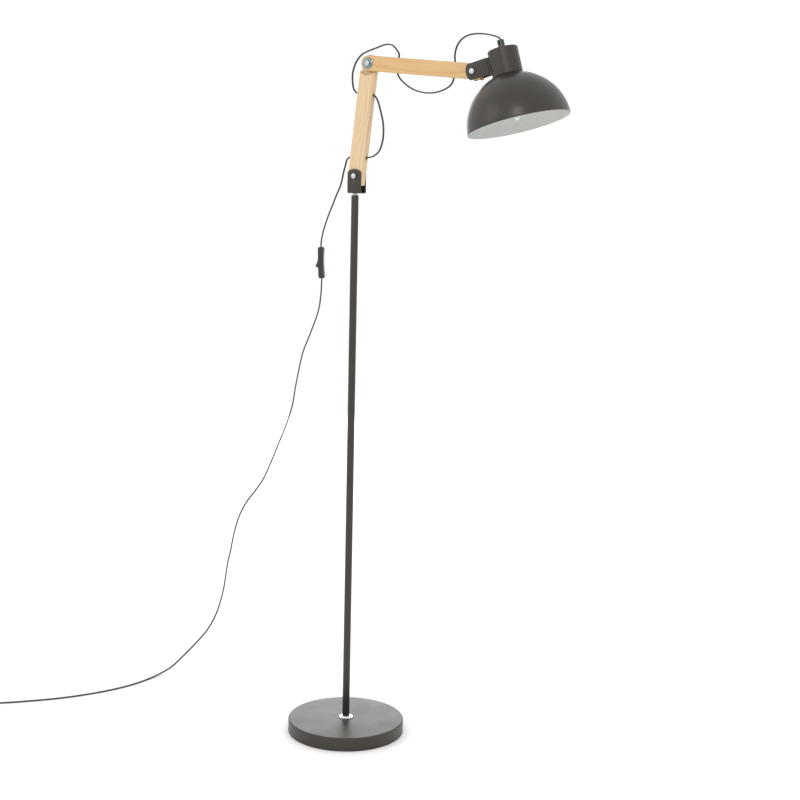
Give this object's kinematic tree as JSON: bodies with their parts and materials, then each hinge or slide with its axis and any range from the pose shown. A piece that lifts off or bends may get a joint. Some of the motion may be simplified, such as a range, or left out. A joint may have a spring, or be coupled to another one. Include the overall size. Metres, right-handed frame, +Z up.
{
  "type": "adjustable arm floor lamp",
  "caption": "Floor lamp with a weighted disc base, slim pole, hinged timber arms, a domed shade on a tilting bracket and a mains cord with switch.",
  "frame": {"origin": "centre of the underside of the base, on the pole's axis", "axes": "+Z up along the pole, +X the way the arms reach out, the arms move in the X-Z plane"},
  "size_m": [1.3787, 0.5031, 1.4748],
  "materials": {
    "black_coat": "satin",
    "shade_coat": "satin",
    "cast_iron": "matte",
    "felt": "matte",
    "chrome": "polished",
    "zinc_steel": "satin",
    "pine": "satin",
    "black_plastic": "gloss",
    "switch_plastic": "satin",
    "plug_plastic": "satin",
    "brass": "polished",
    "holder": "gloss",
    "bulb_glass": "satin",
    "cord_sheath": "satin"
  },
  "bodies": {
    "stand": {"base_cover": "black_coat", "base_weight": "cast_iron", "base_pad": "felt", "base_spacer": "cast_iron", "base_washer": "zinc_steel", "base_bolt": "zinc_steel", "base_collar": "chrome", "pole": "black_coat", "pole_foot_sleeve": "zinc_steel", "pole_top_sleeve": "zinc_steel", "top_stud": "zinc_steel", "stud_washer": "zinc_steel", "stud_nut": "zinc_steel", "lower_bracket": "black_coat", "lower_pivot_bolt": "zinc_steel", "lower_pivot_nut": "zinc_steel", "cord_to_switch": "cord_sheath", "switch_cover": "switch_plastic", "switch_back": "switch_plastic", "switch_screw_upper": "zinc_steel", "switch_screw_lower": "zinc_steel", "cord_supply": "cord_sheath", "cord_coil": "cord_sheath", "coil_tie": "plug_plastic", "cord_tail": "cord_sheath", "plug_relief": "plug_plastic", "plug_body": "plug_plastic", "plug_pin_left": "brass", "plug_pin_right": "brass"},
    "lower_arm": {"lower_arm": "pine", "elbow_bolt": "zinc_steel", "elbow_cup_washer": "zinc_steel", "elbow_friction_disc": "black_plastic", "elbow_back_washer": "zinc_steel", "elbow_nut": "zinc_steel", "cord_lower_arm": "cord_sheath", "cord_elbow": "cord_sheath"},
    "upper_arm": {"upper_arm": "pine", "cord_upper_arm": "cord_sheath"},
    "head": {"head_bracket": "black_coat", "head_pivot_bolt": "zinc_steel", "head_pivot_nut": "zinc_steel", "bracket_saddle": "black_plastic", "bracket_screw": "zinc_steel", "bracket_screw_nut": "zinc_steel", "neck_cup": "black_coat", "shade": "shade_coat", "lamp_holder": "holder", "shade_ring": "holder", "nipple": "zinc_steel", "nipple_nut": "zinc_steel", "cord_grip": "black_plastic", "bulb_glass": "bulb_glass", "bulb_cap": "brass", "cord_head": "cord_sheath"},
    "rocker": {"switch_rocker": "switch_plastic"}
  },
  "joints": [
    {"name": "lower_arm_tilt", "type": "hinge", "parent": "stand", "child": "lower_arm", "pos_m": [0.0036, 0, 1.195], "axis": [0, 1, 0], "range_deg": [-35, 45], "deforming": ["cord_to_switch"]},
    {"name": "elbow", "type": "hinge", "parent": "lower_arm", "child": "upper_arm", "pos_m": [0.02981, 0, 1.42149], "axis": [0, 1, 0], "range_deg": [-85, 3], "deforming": ["cord_elbow"]},
    {"name": "head_tilt", "type": "hinge", "parent": "upper_arm", "child": "head", "pos_m": [0.26847, 0, 1.40145], "axis": [0, 1, 0], "range_deg": [-60, 55], "deforming": ["cord_head"]},
    {"name": "switch_press", "type": "hinge", "parent": "stand", "child": "rocker", "pos_m": [-0.08392, -0.00169, 1.01335], "axis": [-0.4222, 0.9063, -0.0177], "range_deg": [-12, 0]}
  ]
}
